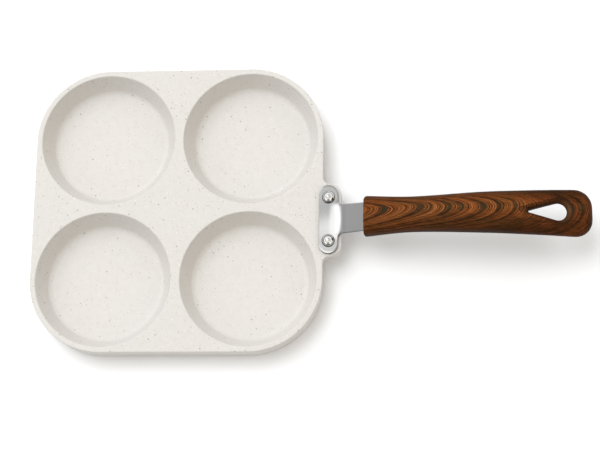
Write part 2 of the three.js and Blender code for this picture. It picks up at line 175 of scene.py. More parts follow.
# One value on a node tree: + - * / ** and abs add Math nodes.
class Wire:
    def __init__(self, paint, socket):
        self.paint = paint
        self.socket = socket

    def __add__(self, other):
        return self.paint.maths("ADD", self, other)

    def __sub__(self, other):
        return self.paint.maths("SUBTRACT", self, other)

    def __rsub__(self, other):
        return self.paint.maths("SUBTRACT", other, self)

    def __mul__(self, other):
        return self.paint.maths("MULTIPLY", self, other)

    def __truediv__(self, other):
        return self.paint.maths("DIVIDE", self, other)

    def __rtruediv__(self, other):
        return self.paint.maths("DIVIDE", other, self)

    def __pow__(self, other):
        return self.paint.maths("POWER", self, other)

    def __neg__(self):
        return self.paint.maths("SUBTRACT", 0.0, self)

    def __abs__(self):
        return self.paint.maths("ABSOLUTE", self)

    __radd__ = __add__
    __rmul__ = __mul__


# Node tree of one material or of the world, and its shader.
class Paint:
    def __init__(self, block, shader="Principled BSDF", **fixed):
        self.block = block
        self.block.use_nodes = True
        self.tree = self.block.node_tree
        self.shader = self.tree.nodes[shader]
        self.set(**fixed)

    def plug(self, socket, value):
        if isinstance(value, Wire):
            self.tree.links.new(value.socket, socket)
        else:
            socket.default_value = value

    def feed(self, node, values):  # sockets by name or identifier, with _ for a space
        for key, value in values.items():
            name = key.replace("_", " ")
            named = (s for s in node.inputs if name in (s.name, s.identifier.replace("_", " ")))
            self.plug(next(s for s in named if s.enabled), value)

    # Any node: its settings first, then the values or links of its sockets.
    def node(self, kind, settings=None, values=None, out=None):
        made = self.tree.nodes.new("ShaderNode" + kind)
        for key, value in (settings or {}).items():
            if key == "stops":
                ramp = made.color_ramp.elements
                while len(ramp) < len(value):
                    ramp.new(1.0)
                for element, (place, colour) in zip(ramp, value):
                    element.position = place
                    element.color = (*colour, 1.0)
            else:
                setattr(made, key, value)
        self.feed(made, values or {})
        outputs = [s for s in made.outputs if s.enabled]
        return Wire(self, outputs[0] if out is None else next(s for s in outputs if s.name == out))

    def maths(self, operation, *inputs):
        made = self.tree.nodes.new("ShaderNodeMath")
        made.operation = operation
        for socket, value in zip(made.inputs, inputs):
            self.plug(socket, value)
        return Wire(self, made.outputs[0])

    def clamp(self, value):
        return self.maths("MINIMUM", self.maths("MAXIMUM", value, 0.0), 1.0)

    def mix(self, share, first, second, blend="MIX"):
        settings = {"data_type": "RGBA", "blend_type": blend}
        return self.node("Mix", settings, {"Factor Float": share, "A Color": first, "B Color": second})

    def part(self, vector, axis):
        return self.node("SeparateXYZ", values={"Vector": vector}, out=axis)

    def place(self, scale=(1, 1, 1)):  # object coordinates, stretched by a Mapping node
        return self.node("Mapping", values={"Vector": self.node("TexCoord", out="Object"), "Scale": scale})

    def noise(self, vector, scale, detail=2.0, roughness=0.5):
        values = {"Vector": vector, "Scale": scale, "Detail": detail, "Roughness": roughness}
        return self.node("TexNoise", values=values)

    def lineNoise(self, along, detail):
        return self.node("TexNoise", {"noise_dimensions": "1D"}, {"W": along, "Detail": detail})

    def ramp(self, stops, value):
        return self.node("ValToRGB", {"stops": stops}, {"Fac": value})

    def set(self, **values):
        self.feed(self.shader, values)

    def bump(self, height, strength, distance):
        values = {"Height": height, "Strength": strength, "Distance": distance}
        self.set(Normal=self.node("Bump", values=values))


def newPaint(name, **fixed):
    return Paint(bpy.data.materials.new(name), **fixed)


# Stops of a ramp from pairs of place and grey value.
def greys(pairs):
    return [(place, (value,) * 3) for place, value in pairs]


coating = {
    "cream": (0.648, 0.625, 0.603, 1.0),
    "warm": (0.661, 0.632, 0.6, 1.0),
    "pale": (0.86, 0.84, 0.81, 1.0),
    "fleck": (0.09, 0.062, 0.045, 1.0),
    "haze": (0.36, 0.31, 0.26, 1.0),
    "flecks": (  # cell, radius, share of the cells, strength
        (3.2 * mm, 0.58 * mm, 0.5, 1.0),
        (2.2 * mm, 0.43 * mm, 0.6, 0.6),
        (1.6 * mm, 0.4 * mm, 0.55, 0.42),
    ),
    "paleFleck": (1.8 * mm, 0.47 * mm, 0.5, 0.62),
    "cupShare": 0.55,  # of the flecks, against the deck
    "cupFade": 2.0 * mm,  # height over which they thin out
}


# Cream coating: a base that drifts a little in warmth, with three sizes of dark fleck and one pale one,
# fewer in the cups than on the deck. A fleck is a ball round the random point of a Voronoi cell, and
# only some cells have one.
def coatingPaint():
    paint = newPaint("speckled_coating", Specular_IOR_Level=0.3)
    spot = paint.place()
    drift = paint.noise(spot, 18.0, 3.0)
    mottle = paint.noise(spot, 330.0, 3.0, 0.6)
    onDeck = paint.clamp((paint.part(spot, "Z") - panHigh.z) / coating["cupFade"] + 1.5)
    spread = coating["cupShare"] + onDeck * (1 - coating["cupShare"])
    colour = paint.mix(paint.clamp(drift * 2.2 - 0.6), coating["cream"], coating["warm"])
    colour = paint.mix(paint.clamp(mottle * 3.0 - 1.35) * 0.1, colour, coating["haze"])

    def flecks(cell, radius, share):
        values = {"Vector": spot, "Scale": 1 / cell, "Randomness": 1.0}
        away = paint.node("TexVoronoi", values=values, out="Distance") * cell
        lots = paint.node("TexVoronoi", values=values, out="Color")
        lot, odds = paint.part(lots, "X"), paint.part(lots, "Y")
        dot = paint.clamp((radius * (0.5 + odds * 0.5) - away) / (radius * 0.35))
        return dot * paint.maths("LESS_THAN", lot, spread * share), odds

    dots, odds = flecks(*coating["paleFleck"][:3])
    colour = paint.mix(dots * coating["paleFleck"][3], colour, coating["pale"])
    for cell, radius, share, strength in coating["flecks"]:
        dots, odds = flecks(cell, radius, share)
        colour = paint.mix(dots * strength, colour, paint.mix(odds, coating["fleck"], coating["haze"]))
    grain = paint.noise(spot, 1500.0)
    paint.set(Base_Color=colour, Roughness=0.42 + drift * 0.1)
    paint.bump(grain * 0.5 + mottle, 0.15, 0.2 * mm)
    return paint.block


steel = {
    "plate": (0.60, 0.60, 0.595, 1.0),
    "worn": (0.53, 0.53, 0.53, 1.0),
    "cut": (0.14, 0.14, 0.14, 1.0),
    "rivet": (0.86, 0.86, 0.86, 1.0),
    "rivetDull": (0.78, 0.78, 0.78, 1.0),
    "rimShade": (0.04, 0.04, 0.042, 1.0),
    "zinc": (0.62, 0.63, 0.65, 1.0),
    "zincDull": (0.48, 0.49, 0.5, 1.0),
    "relief": 0.1 * mm,
}


# Brushed plate: fine lines along the handle, in colour, roughness and height. Painted shade darkens its
# edge.
def platePaint():
    paint = newPaint("bracket_steel", Metallic=1.0)
    lines = paint.noise(paint.place((40, 3200, 40)), 1.0, 3.0, 0.6)
    cloud = paint.noise(paint.place(), 60.0, 3.0)
    tone = paint.clamp(lines * 1.6 - 0.3) * 0.6 + cloud * 0.4
    # Painted shade: the marked edge rows are painted dark and rougher, a dark outline round the plate.
    cut = paint.node("Attribute", {"attribute_name": "deep"}, out="Fac")
    colour = paint.mix(cut, paint.mix(tone, steel["plate"], steel["worn"]), steel["cut"])
    paint.set(Base_Color=colour, Roughness=0.1 + tone * 0.06 + cut * 0.25)
    paint.bump(lines, 0.04, steel["relief"])
    return paint.block


# Polished rivet: a faint cloud, and painted shade on the head's lower rim where it meets the plate.
def rivetPaint():
    paint = newPaint("rivet_steel", Metallic=1.0)
    cloud = paint.noise(paint.place(), 420.0, 3.0)
    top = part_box("bracket_rivet_left")[1].z
    # Painted shade: the head is painted near black and rougher from this height down to the plate.
    shadeTop = flangeTop * 0.42 + top * 0.58
    crease = paint.clamp((shadeTop - paint.part(paint.place(), "Z")) / (0.3 * (top - flangeTop))) * 0.88
    colour = paint.mix(cloud, steel["rivet"], steel["rivetDull"])
    paint.set(Base_Color=paint.mix(crease, colour, steel["rimShade"]))
    paint.set(Roughness=0.09 + cloud * 0.04 + crease * 0.38)
    paint.bump(cloud, 0.015, steel["relief"])
    return paint.block


# Zinc plating: pale and dark crystals.
def zincPaint():
    paint = newPaint("plated_steel", Metallic=1.0)
    crystals = {"Vector": paint.place(), "Scale": 900.0}
    spangle = paint.node("TexVoronoi", values=crystals, out="Distance")
    cloud = paint.noise(paint.place(), 300.0, 3.0)
    tone = paint.clamp(spangle * 0.5 + cloud * 0.5)
    paint.set(Base_Color=paint.mix(tone, steel["zinc"], steel["zincDull"]), Roughness=0.26 + tone * 0.2)
    return paint.block


wood = {
    "light": (0.322, 0.112, 0.032),
    "brown": (0.162, 0.0525, 0.0130),
    "umber": (0.054, 0.0185, 0.0048),
    "dark": (0.015, 0.0088, 0.0030),
    "recessShade": (0.019, 0.0098, 0.0048, 1.0),
    "russet": (1.04, 0.88, 0.78, 1.0),
    "olive": (0.036, 0.031, 0.015, 1.0),
    "lipHighlight": (0.30, 0.128, 0.055, 1.0),
    "rings": (  # place along the grip, width, darkness
        (0.118, 0.050, 1.0), (0.269, 0.050, 1.0), (0.302, 0.018, 0.8), (0.394, 0.034, 1.0),
        (0.450, 0.042, 1.0), (0.545, 0.044, 1.0), (0.609, 0.028, 0.9), (0.672, 0.024, 0.8),
        (0.928, 0.060, 0.8), (0.966, 0.030, 0.8),
    ),
    "ringEnd": 0.005,  # width of a ring's sharp side
    "apexShift": 2.0 * mm,
    "apexHalf": 5.0 * mm,  # the olive tint lies within this of the apexes
    "tightBend": 1.3 * mm,
    "wideBend": 8.0 * mm,
    "sway": 3.0 * mm,
    "ripple": 1.2 * mm,
    "looseFrom": 0.66,  # past the last near ring the loose bands take over
    "tailFrom": 0.64,
    "eyeFrom": 0.84,  # round end of the hanging hole
    "endFrom": 0.962,  # the end of the tail is darker
    "relief": 0.2 * mm,
}


# Printed wood: nested arcs whose apexes lie along the grip and point at its tail.
# An arc is the line where x + g^2 / (2 bend) is constant, with g the way round the grip from
# its upper centre line. The bend widens with the cube of the way to the tail. Each ring darkens
# slowly towards the tail and ends sharply. Painted shade darkens the holes and the slot, more with
# depth, draws a dark line round the hanging hole's mouth and darkens the end of the tail; the front
# face round the slot is painted as dark as the slot. The lower side is darker, partly as the print's
# darker flank and partly as painted shade. A lighter brown ring on the round end of the hanging
# hole is a painted highlight of its rolled rim.
def woodPaint():
    paint = newPaint("wood_print", Specular_IOR_Level=0.05, Coat_Roughness=0.3)
    chart = paint.node("UVMap", {"uv_map": "grain"})
    girth = paint.part(chart, "Y")
    deep = paint.node("Attribute", {"attribute_name": "deep"}, out="Fac")
    way = (paint.part(chart, "X") - gripLow.x) / gripLength
    sway = paint.noise(paint.place(), 34.0, 1.0) - 0.5
    ripple = paint.noise(paint.place((0.3, 1, 1)), 260.0) - 0.5
    across = girth - wood["apexShift"] + sway * wood["sway"] + ripple * wood["ripple"]
    lean = paint.clamp(across / (8 * mm) + 0.5)  # the upper arms of the arcs are flatter
    bend = (wood["tightBend"] + wood["wideBend"] * paint.clamp(way) ** 3.0) * (1.4 - lean * 0.7)
    ring = way + across * across / (bend * (2 * gripLength)) + sway * 0.02 + ripple * 0.01

    shades = [(0.0, 1.0)]
    for place, width, dark in wood["rings"]:
        shades += [(place - width, 0.95), (place - width / 3, 1 - dark), (place + wood["ringEnd"], 1.0)]
    rings = paint.ramp(greys(shades), ring)
    loose = paint.lineNoise(ring * 24.0, 1.0)
    lines = paint.lineNoise(ring * 95.0 + ripple, 2.0)
    fibre = paint.noise(paint.place((70, 2600, 2600)), 1.0, 3.0, 0.6)
    dashes = paint.noise(paint.place((130, 950, 950)), 1.0, 2.0, 0.6)
    broken = 0.35 + paint.clamp(paint.noise(paint.place((0.5, 1, 1)), 190.0) * 3.0 - 0.8) * 0.65
    far = paint.clamp((ring - wood["looseFrom"]) * 6.0)
    tail = paint.clamp((way - wood["tailFrom"]) * 6.0)
    # Painted shade: the end of the tail, where its edge turns down, is darker.
    end = paint.clamp((way - wood["endFrom"]) * 34.0)
    back = paint.clamp(way * 4.0 - 0.5)
    # Darker on the lower side: partly the print's darker flank, partly painted shade of the side turned
    # from the light.
    underFront = paint.clamp((-girth - 5 * mm) / (12 * mm))
    underBack = paint.clamp((-girth - 1 * mm) / (6 * mm))
    under = underFront * (1 - back) + underBack * back
    over = paint.clamp((girth - 5 * mm) / (8 * mm)) * (0.3 + back * 0.15)
    bands = paint.clamp((loose - 0.34) * 3.2)
    bands = bands + far * 0.35 * (1 - bands)
    arcs = 1 - (1 - rings) * broken
    tone = 0.93 + back * 0.07 - under * (0.47 - tail * 0.22) - over - far * 0.3
    shade = arcs * (0.27 + bands * 0.73) * tone - far * (1 - bands) * 0.1 - end * 0.24
    shade = shade - paint.clamp((0.47 - lines) * 4.5) * (0.42 - far * 0.38)
    shade = shade + (fibre - 0.5) * 0.4 + (dashes - 0.5) * 0.55
    colour = paint.ramp([
        (0.0, wood["dark"]), (0.26, wood["umber"]), (0.6, wood["brown"]), (1.0, wood["light"]),
    ], shade)
    patchy = paint.clamp(paint.noise(paint.place((0.3, 1, 1)), 140.0) * 3.2 - 1.1)
    colour = paint.mix(paint.clamp(patchy * 0.8 + tail * 0.6), colour, wood["russet"], "MULTIPLY")
    apex = paint.clamp(1 - abs(across) / wood["apexHalf"]) * paint.clamp(1 - rings)
    colour = paint.mix(apex * 0.8, colour, wood["olive"])

    eye = paint.clamp((way - wood["eyeFrom"]) * 14.0)
    # Painted shade: a dark line round the hanging hole's mouth, and the holes and the slot darker with
    # depth.
    mouthShade = paint.clamp(1 - abs(deep - 0.2) / 0.17) * 0.7
    inside = (paint.clamp(deep * 2.0) * 0.45 + paint.clamp(deep * 3.0 - 2.0) * 0.4) * (1 - eye * 0.5)
    colour = paint.mix(paint.clamp(mouthShade + inside), colour, wood["recessShade"])
    # Painted highlight: a lighter brown ring on the round end of the hanging hole, for light off its rolled
    # rim.
    lipHighlight = eye * paint.clamp(1.3 - abs(deep - 0.75) / 0.3) * broken
    colour = paint.mix(lipHighlight * 0.36, colour, wood["lipHighlight"])
    lip = paint.clamp(deep * 6.0) * paint.clamp(1.6 - deep * 3.0)
    paint.set(Base_Color=colour, Roughness=0.5 + (0.5 - fibre) * 0.12, Coat_Weight=lip * 0.06)
    paint.bump(shade + fibre * 0.4, 0.06, wood["relief"])
    return paint.block


paints = {
    "speckled_coating": coatingPaint(),
    "bracket_steel": platePaint(),
    "rivet_steel": rivetPaint(),
    "plated_steel": zincPaint(),
    "wood_print": woodPaint(),
}
print("paints:", ", ".join(paints))


# Pan casting

pan = {
    "rimRadius": 44.4 * mm,
    "rimGap": 5.5 * mm,  # between the rims of neighbouring cups
    "rimRound": 0.9 * mm,
    "draft": math.radians(26.4),  # lean of a cup's wall
    "floor": 4.3 * mm,
    "floorFillet": 4.2 * mm,
    "wall": 3.0 * mm,
    "footRound": 1.5 * mm,
    "edgeRound": 0.6 * mm,
    "deckWall": 3.2 * mm,
    "deckFillet": 2.0 * mm,
    "skirtWall": 3.0 * mm,
    "skirtLift": 1.5 * mm,  # the skirt ends this far above the table
    "skirtDraft": 0.5 * mm,
    "skirtFoot": 0.8 * mm,
    "lugThickness": 8.0 * mm,
    "lugHalf": 24.2 * mm,
    "lugCorner": 7.5 * mm,
    "lugFillet": 4.4 * mm,
    "lugUnderFillet": 2.0 * mm,
    "lugBlend": 3.0 * mm,  # reach over which the plain skirt turns into the lug
    "sideSteps": 40,
    "arcSteps": 60,
    "innerSteps": 32,
}
panHalf = panHigh.y
deck = panHigh.z
cupCentre = pan["rimRadius"] + pan["rimGap"] / 2
cupMiddle = np.array([cupCentre, cupCentre])
cornerRadius = panHalf - cupCentre
cavityTop = deck - pan["deckWall"]
cavityInset = pan["skirtDraft"] + pan["skirtWall"]


# Pan outline of one quarter, counter-clockwise from the middle of a side to the middle of the next,
# and its outward normals.
def quarterOutline():
    run = np.linspace(0, 1, pan["sideSteps"], endpoint=False)
    angle = np.linspace(0, math.pi / 2, pan["arcSteps"], endpoint=False)
    last = np.linspace(0, 1, pan["sideSteps"] + 1)
    line = np.concatenate([
        asPoints(panHalf, run * cupCentre),
        cupCentre + cornerRadius * asPoints(np.cos(angle), np.sin(angle)),
        asPoints(cupCentre * (1 - last), panHalf),
    ])
    turnTo = np.concatenate([0 * run, angle, 0 * last + math.pi / 2])
    return line, asPoints(np.cos(turnTo), np.sin(turnTo))


# Edge of the cell round one cup: the outline drawn in, then the two lines to the pan's middle.
def cellEdge(inset):
    line, normal = quarterOutline()
    outer = line - inset * normal
    down = np.linspace(1, 0, pan["innerSteps"], endpoint=False)[1:]
    out = np.linspace(0, 1, pan["innerSteps"], endpoint=False)
    reach = panHalf - inset
    return np.concatenate([outer, asPoints(0, reach * down), asPoints(reach * out, 0)])


# Rays from a cup's centre to the edge of its cell.
def cellRays():
    return unit(cellEdge(0) - cupMiddle)


def quarterTurn(points, count):
    c, s = round(math.cos(count * math.pi / 2)), round(math.sin(count * math.pi / 2))
    x, y = points[..., 0], points[..., 1]
    return np.concatenate([asPoints(c * x - s * y, s * x + c * y), points[..., 2:]], axis=-1)


# Height of the underside at a distance from the cup's centre: foot, outer wall, deck.
def undersideLine():
    slope, wall = math.tan(pan["draft"]), pan["wall"] / math.cos(pan["draft"])
    foot = pan["rimRadius"] - deck * slope + wall
    root = pan["rimRadius"] - (deck - cavityTop) * slope + wall
    return roundedLine([
        (0, 0, 0),
        (foot, 0, pan["footRound"]),
        (root, cavityTop, pan["deckFillet"]),
        (2 * panHalf, cavityTop, 0),
    ])


# Upper side of one cell: floor, fillet, leaning wall and rim turned about the cup's centre, then the deck.
def cellTop():
    foot = pan["rimRadius"] - (deck - pan["floor"]) * math.tan(pan["draft"])
    line = roundedLine([
        (0, pan["floor"], 0),
        (foot, pan["floor"], pan["floorFillet"]),
        (pan["rimRadius"], deck, pan["rimRound"]),
        (pan["rimRadius"] + 2 * pan["rimRound"], deck, 0),
    ], 10)[:-1]
    floorRings = asPoints(np.linspace(0, line[1, 0], 6), pan["floor"])
    wallRings = line[11] + np.linspace(0, 1, 8)[1:-1, None] * (line[12] - line[11])
    line = np.concatenate([floorRings[:-1], line[1:12], wallRings, line[12:]])
    plan = cupMiddle + line[:, :1, None] * cellRays()
    rings = lifted(plan, line[:, 1:])
    edge = cellEdge(pan["edgeRound"])
    flat = rowsBetween(rings[-1], lifted(edge, deck), np.linspace(0, 1, 9)[1:])
    return np.concatenate([rings, flat])


# Underside of one cell: its height follows the distance from the cup's centre.
def cellUnder():
    line = undersideLine()
    radii = np.concatenate([[0, line[1, 0] / 2], line[1:10, 0]])
    rings = cupMiddle + radii[:, None, None] * cellRays()
    rest = rowsBetween(rings[-1], cellEdge(cavityInset), np.linspace(0, 1, 23)[1:])
    plan = np.concatenate([rings, rest])
    away = np.linalg.norm(plan - cupMiddle, axis=-1)
    return lifted(plan, np.interp(away, line[:, 0], line[:, 1]))


# Lug outline from its lower root to its upper one, with outward normals: hollow fillet, round corner,
# straight lip, and the same mirrored.
def lugOutline():
    fillet, corner = pan["lugFillet"], pan["lugCorner"]
    angle = np.linspace(0, math.pi / 2, 40)
    hollow = asPoints(-np.cos(angle), np.sin(angle))
    ball = asPoints(np.sin(angle), -np.cos(angle))
    lower = np.concatenate([
        np.array([panHalf + fillet, -pan["lugHalf"] - fillet]) + fillet * hollow,
        np.array([panHigh.x - corner, corner - pan["lugHalf"]]) + corner * ball,
    ])
    normal = np.concatenate([-hollow, ball])
    mirror = np.array([1, -1])
    line = np.concatenate([lower, lower[::-1] * mirror]) + np.array([0, handleLine])
    normal = np.concatenate([normal, normal[::-1] * mirror])
    step = np.linalg.norm(np.diff(line, axis=0), axis=1)
    share = np.concatenate([[0], np.cumsum(step)]) / step.sum()
    return line, normal, share


# Skirt: a profile carried round the outline. At the lug it runs out over it and back under it.
def skirtRows():
    line, normal = quarterOutline()
    line = np.concatenate([quarterTurn(line[:-1], q) for q in range(4)])
    normal = np.concatenate([quarterTurn(normal[:-1], q) for q in range(4)])
    lug, lugNormal, share = lugOutline()
    low, high = lug[0, 1], lug[-1, 1]
    along = (line[:, 1] - low) / (high - low)
    onLug = (line[:, 0] > panHalf - 0.01 * mm) & (along > 0) & (along < 1)
    outer, outNormal = line.copy(), normal.copy()
    for axis in range(2):
        outer[onLug, axis] = np.interp(along[onLug], share, lug[:, axis])
        outNormal[onLug, axis] = np.interp(along[onLug], share, lugNormal[:, axis])
    outNormal = unit(outNormal)
    out = np.linalg.norm(outer - line, axis=1)
    swell = smooth(out / pan["lugBlend"])[:, None]  # 1 on the lug, 0 on the plain skirt

    edge, fillet = pan["edgeRound"], pan["lugUnderFillet"]
    under = deck - pan["lugThickness"]
    foot = pan["skirtLift"] + pan["skirtFoot"]
    rows = []

    def draftAt(z):
        return pan["skirtDraft"] * (deck - edge - z) / (deck - edge - pan["skirtLift"])

    def add(plan, z):
        rows.append(lifted(plan, np.broadcast_to(z, swell.shape)[:, 0]))

    for t in np.linspace(0, 1, 7):  # deck out to the lip of the lug
        add((line - edge * normal) * (1 - t) + (outer - edge * outNormal) * t, deck)
    for angle in quarter[1:]:  # upper edge
        add(outer - edge * (1 - math.sin(angle)) * outNormal, deck - edge * (1 - math.cos(angle)))
    for z in np.linspace(deck - edge, under + edge, 5)[1:]:  # side
        add(outer - (1 - swell) * draftAt(z) * outNormal, z)
    for angle in quarter[1:]:  # lower edge of the lug
        z = under + edge * (1 - math.sin(angle))
        add(outer - (swell * edge * (1 - math.cos(angle)) + (1 - swell) * draftAt(z)) * outNormal, z)
    start = outer - (swell * edge + (1 - swell) * draftAt(under)) * outNormal
    bendTop = under - (1 - swell) * fillet / 2
    root = line + (swell * fillet - draftAt(bendTop)) * normal
    for t in np.linspace(0, 1, 7)[1:]:  # under the lug, back to the skirt
        add(start * (1 - t) + root * t, under * (1 - t) + bendTop * t)
    for angle in quarter[1:]:  # fillet into the skirt
        turnDown = fillet * (1 - math.cos(angle)) * swell
        z = under - turnDown - (1 - swell) * fillet * (0.5 + angle / math.pi)
        add(line + (swell * fillet * (1 - math.sin(angle)) - draftAt(z)) * normal, z)
    for z in np.linspace(under - fillet, foot, 6)[1:]:  # skirt
        add(line - draftAt(z) * normal, z)
    lean, bead = draftAt(foot), pan["skirtFoot"]
    for angle in quarter[1:]:  # foot, outside
        inset = lean + bead * (1 - math.cos(angle))
        add(line - inset * normal, foot - bead * math.sin(angle))
    for angle in quarter[::2]:  # foot, inside
        inset = cavityInset - bead * (1 - math.sin(angle))
        add(line - inset * normal, pan["skirtLift"] + bead * (1 - math.cos(angle)))
    cavity = line - cavityInset * normal
    profile = undersideLine()
    away = np.linalg.norm(np.abs(cavity) - cupCentre, axis=1)
    roof = np.interp(away, profile[:, 0], profile[:, 1])[:, None]
    for t in np.linspace(0, 1, 9)[1:]:  # inside of the skirt, up to the underside
        add(cavity, foot * (1 - t) + roof * t)
    return np.stack(rows)


def makePan():
    top, under = cellTop(), cellUnder()
    patches = [gridPatch(quarterTurn(top, q), wrap=True) for q in range(4)]
    patches += [gridPatch(quarterTurn(under, q), wrap=True, flip=True) for q in range(4)]
    patches.append(gridPatch(skirtRows(), wrap=True))
    makePiece("pan_casting", "pan_body", "speckled_coating", patches)


makePan()


# Bracket

bracket = {
    "thickness": 2.0 * mm,
    "flangeWidth": 12.0 * mm,
    "rootHalf": 9.6 * mm,
    "gripHalf": 9.25 * mm,  # half width where the tongue enters the grip
    "tipHalf": 7.0 * mm,
    "tipRound": 3.0 * mm,
    "neckFillet": 3.0 * mm,
    "waist": 30.0 * mm,  # radius of the tongue's outline where it enters the grip
    "rootBend": 6.5 * mm,  # reach of the first bend to each side of the flange's outer edge
    "gripBend": 0.4 * mm,
    "rise": math.radians(19.0),
    "pitch": math.radians(6.5),
    "bendDepth": 0.6 * mm,  # the second bend lies this far inside the grip
    "edgeRound": 0.2 * mm,
    "slant": 0.2 * mm,  # of the flange's outer edge, so that no two rows share a line
    "crown": (0.2 * mm, 0.14 * mm),  # rise of the flange between its rivets, and more at its outer edge
    "crownFade": 4.0 * mm,  # to each side of the flange's outer edge
    "saddle": (8.0 * mm, 13.0 * mm),  # from the centre line: the bend is whole up to here, gone from there
    "rivetReach": 14.45 * mm,  # from the handle's line to a rivet
    "acrossSteps": 32,
    "alongStep": 0.4 * mm,
}
flangeOuter = plateLow.x + bracket["flangeWidth"]
plateMiddle = plateLow.z + bracket["thickness"] / 2
bendX = gripLow.x + bracket["bendDepth"]
bendZ = plateMiddle + (bendX - flangeOuter) * math.tan(bracket["rise"])


def tongueHeight(x):
    return bendZ + (x - bendX) * math.tan(bracket["pitch"])


# Height and slope of the plate's middle at each x: flat flange, bend up, bend back to the grip's slope.
# The slope swells in a soft step over each bend, and the height is its running sum.
def plateLine(x):
    fineX = np.linspace(plateLow.x - 10 * mm, plateHigh.x + 10 * mm, 4000)
    rise, pitch = math.tan(bracket["rise"]), math.tan(bracket["pitch"])
    up = smooth(0.5 + (fineX - flangeOuter) / (2 * bracket["rootBend"]))
    back = smooth(0.5 + (fineX - bendX) / (2 * bracket["gripBend"]))
    slope = rise * up + (pitch - rise) * back
    height = plateMiddle + np.cumsum(slope) * (fineX[1] - fineX[0])
    return np.interp(x, fineX, height), np.interp(x, fineX, np.arctan(slope))


# Half widths along the bracket: round end of the flange, its outer edge, neck and tongue.
def plateSides():
    end = bracket["flangeWidth"] / 2
    half = (plateHigh.y - plateLow.y) / 2
    angle = np.linspace(0, math.pi, 41)
    roundEnd = asPoints(plateLow.x + end - end * np.cos(angle), half - end + end * np.sin(angle))
    neck = roundedLine([
        (flangeOuter, half - end, 0),
        (flangeOuter + bracket["slant"], bracket["rootHalf"], bracket["neckFillet"]),
        (gripLow.x, bracket["gripHalf"], bracket["waist"]),
        (plateHigh.x, bracket["tipHalf"], bracket["tipRound"]),
        (plateHigh.x + bracket["slant"], 0.3 * bracket["tipHalf"], 0),
    ], 12)
    line = np.concatenate([roundEnd, neck[1:]])
    x = np.arange(flangeOuter + 1 * mm, gripLow.x + 2 * mm, bracket["alongStep"])
    line = np.concatenate([line, asPoints(x, np.interp(x, line[:, 0], line[:, 1]))])
    return line[np.argsort(line[:, 0], kind="stable")]


# Outer loop of a grid, counter-clockwise when rows run along +X and columns along -Y.
def gridRim(grid):
    return np.concatenate([grid[0, :-1], grid[:-1, -1], grid[-1, :0:-1], grid[:0:-1, 0]])


# Flat plate laid along its bends, crowned between the rivets and offset square to itself.
def bentPlate(plan, offset):
    height, slope = plateLine(plan[..., 0])
    side = np.abs(plan[..., 1] - handleLine)
    past = plan[..., 0] - flangeOuter
    near, gone = bracket["saddle"]
    level = smooth((side - near) / (gone - near)) * smooth(1 - past / bracket["neckFillet"])
    height, slope = height * (1 - level) + plateMiddle * level, slope * (1 - level)
    dome = 0.5 + 0.5 * np.cos(math.pi * np.clip(side / bracket["rivetReach"], 0, 1))
    dome = dome * smooth(0.5 - past / (2 * bracket["crownFade"]))
    low, more = bracket["crown"]
    height = height + dome * (low + more * (1 + past / bracket["flangeWidth"]) ** 2)
    x = plan[..., 0] - offset * np.sin(slope)
    return asPoints(x, plan[..., 1], height + offset * np.cos(slope))


def makeBracket():
    sides = plateSides()
    across = np.linspace(1, -1, bracket["acrossSteps"] + 1)
    flat = asPoints(sides[:, :1], handleLine + sides[:, 1:] * across)
    rim = gridRim(flat)
    along = unit(np.roll(rim, -1, axis=0) - np.roll(rim, 1, axis=0))
    outward = asPoints(along[:, 1], -along[:, 0])
    half, edge = bracket["thickness"] / 2, bracket["edgeRound"]
    rows, cols = flat.shape[:2]
    front, right, back, left = np.split(rim - edge * outward, np.cumsum([cols - 1, rows - 1, cols - 1]))
    face = np.zeros_like(flat)
    face[0, :-1], face[:-1, -1] = front, right
    face[-1, :0:-1], face[:0:-1, 0] = back, left
    share = ((1 - across) / 2)[None, :, None]
    face[1:-1] = face[1:-1, :1] * (1 - share) + face[1:-1, -1:] * share
    turn = quarter[::2]
    steps = [(edge * (1 - math.sin(a)), half - edge * (1 - math.cos(a))) for a in turn]
    steps += [(edge * (1 - math.cos(a)), edge * (1 - math.sin(a)) - half) for a in turn]
    edgeRows = [bentPlate(rim - inset * outward, offset) for inset, offset in steps]
    # Mark of the painted edge shade: rising over the upper rounding, whole over the lower one.
    cut = np.concatenate([np.sin(turn), np.ones(len(turn))])[:, None]
    makePiece("bracket_plate", "handle_bracket", "bracket_steel", [
        gridPatch(bentPlate(face, half), flip=True),
        gridPatch(bentPlate(face, -half)),
        gridPatch(np.stack(edgeRows), wrap=True, mark=cut),
    ])


makeBracket()


# Rivets

rivet = {"shank": 2.4 * mm, "tail": 3.4 * mm, "tailHeight": 1.8 * mm, "rimRound": 0.3 * mm}


# Spherical cap from its pole to its rim.
def cap(radius, height, base, steps=14):
    rise = abs(height)
    ball = (radius * radius + rise * rise) / (2 * rise)
    angle = np.linspace(0, math.asin(radius / ball), steps)
    z = base + np.sign(height) * (ball * np.cos(angle) - ball + rise)
    return asPoints(ball * np.sin(angle), z)


# Rivet: domed head, shank, upset tail.
def makeRivet(side):
    node = "bracket_rivet_" + side
    low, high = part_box(node)
    radius = (high.x - low.x) / 2
    soft, turn = rivet["rimRound"], quarter[::2]
    head = cap(radius, high.z - flangeTop - soft, flangeTop + soft)
    bead = asPoints(radius - soft * (1 - np.cos(turn)), flangeTop + soft * (1 - np.sin(turn)))
    tailTop = low.z + rivet["tailHeight"]
    tail = cap(rivet["tail"], -rivet["tailHeight"], tailTop)[::-1]
    shank = np.array([[rivet["shank"], flangeTop], [rivet["shank"], tailTop]])
    profile = np.concatenate([head, bead[1:], shank, tail])
    place = ((low.x + high.x) / 2, (low.y + high.y) / 2)
    makePiece("rivet_" + side, node, "rivet_steel", [turned(profile, place)])


for side in ("left", "right"):
    makeRivet(side)


# Grip

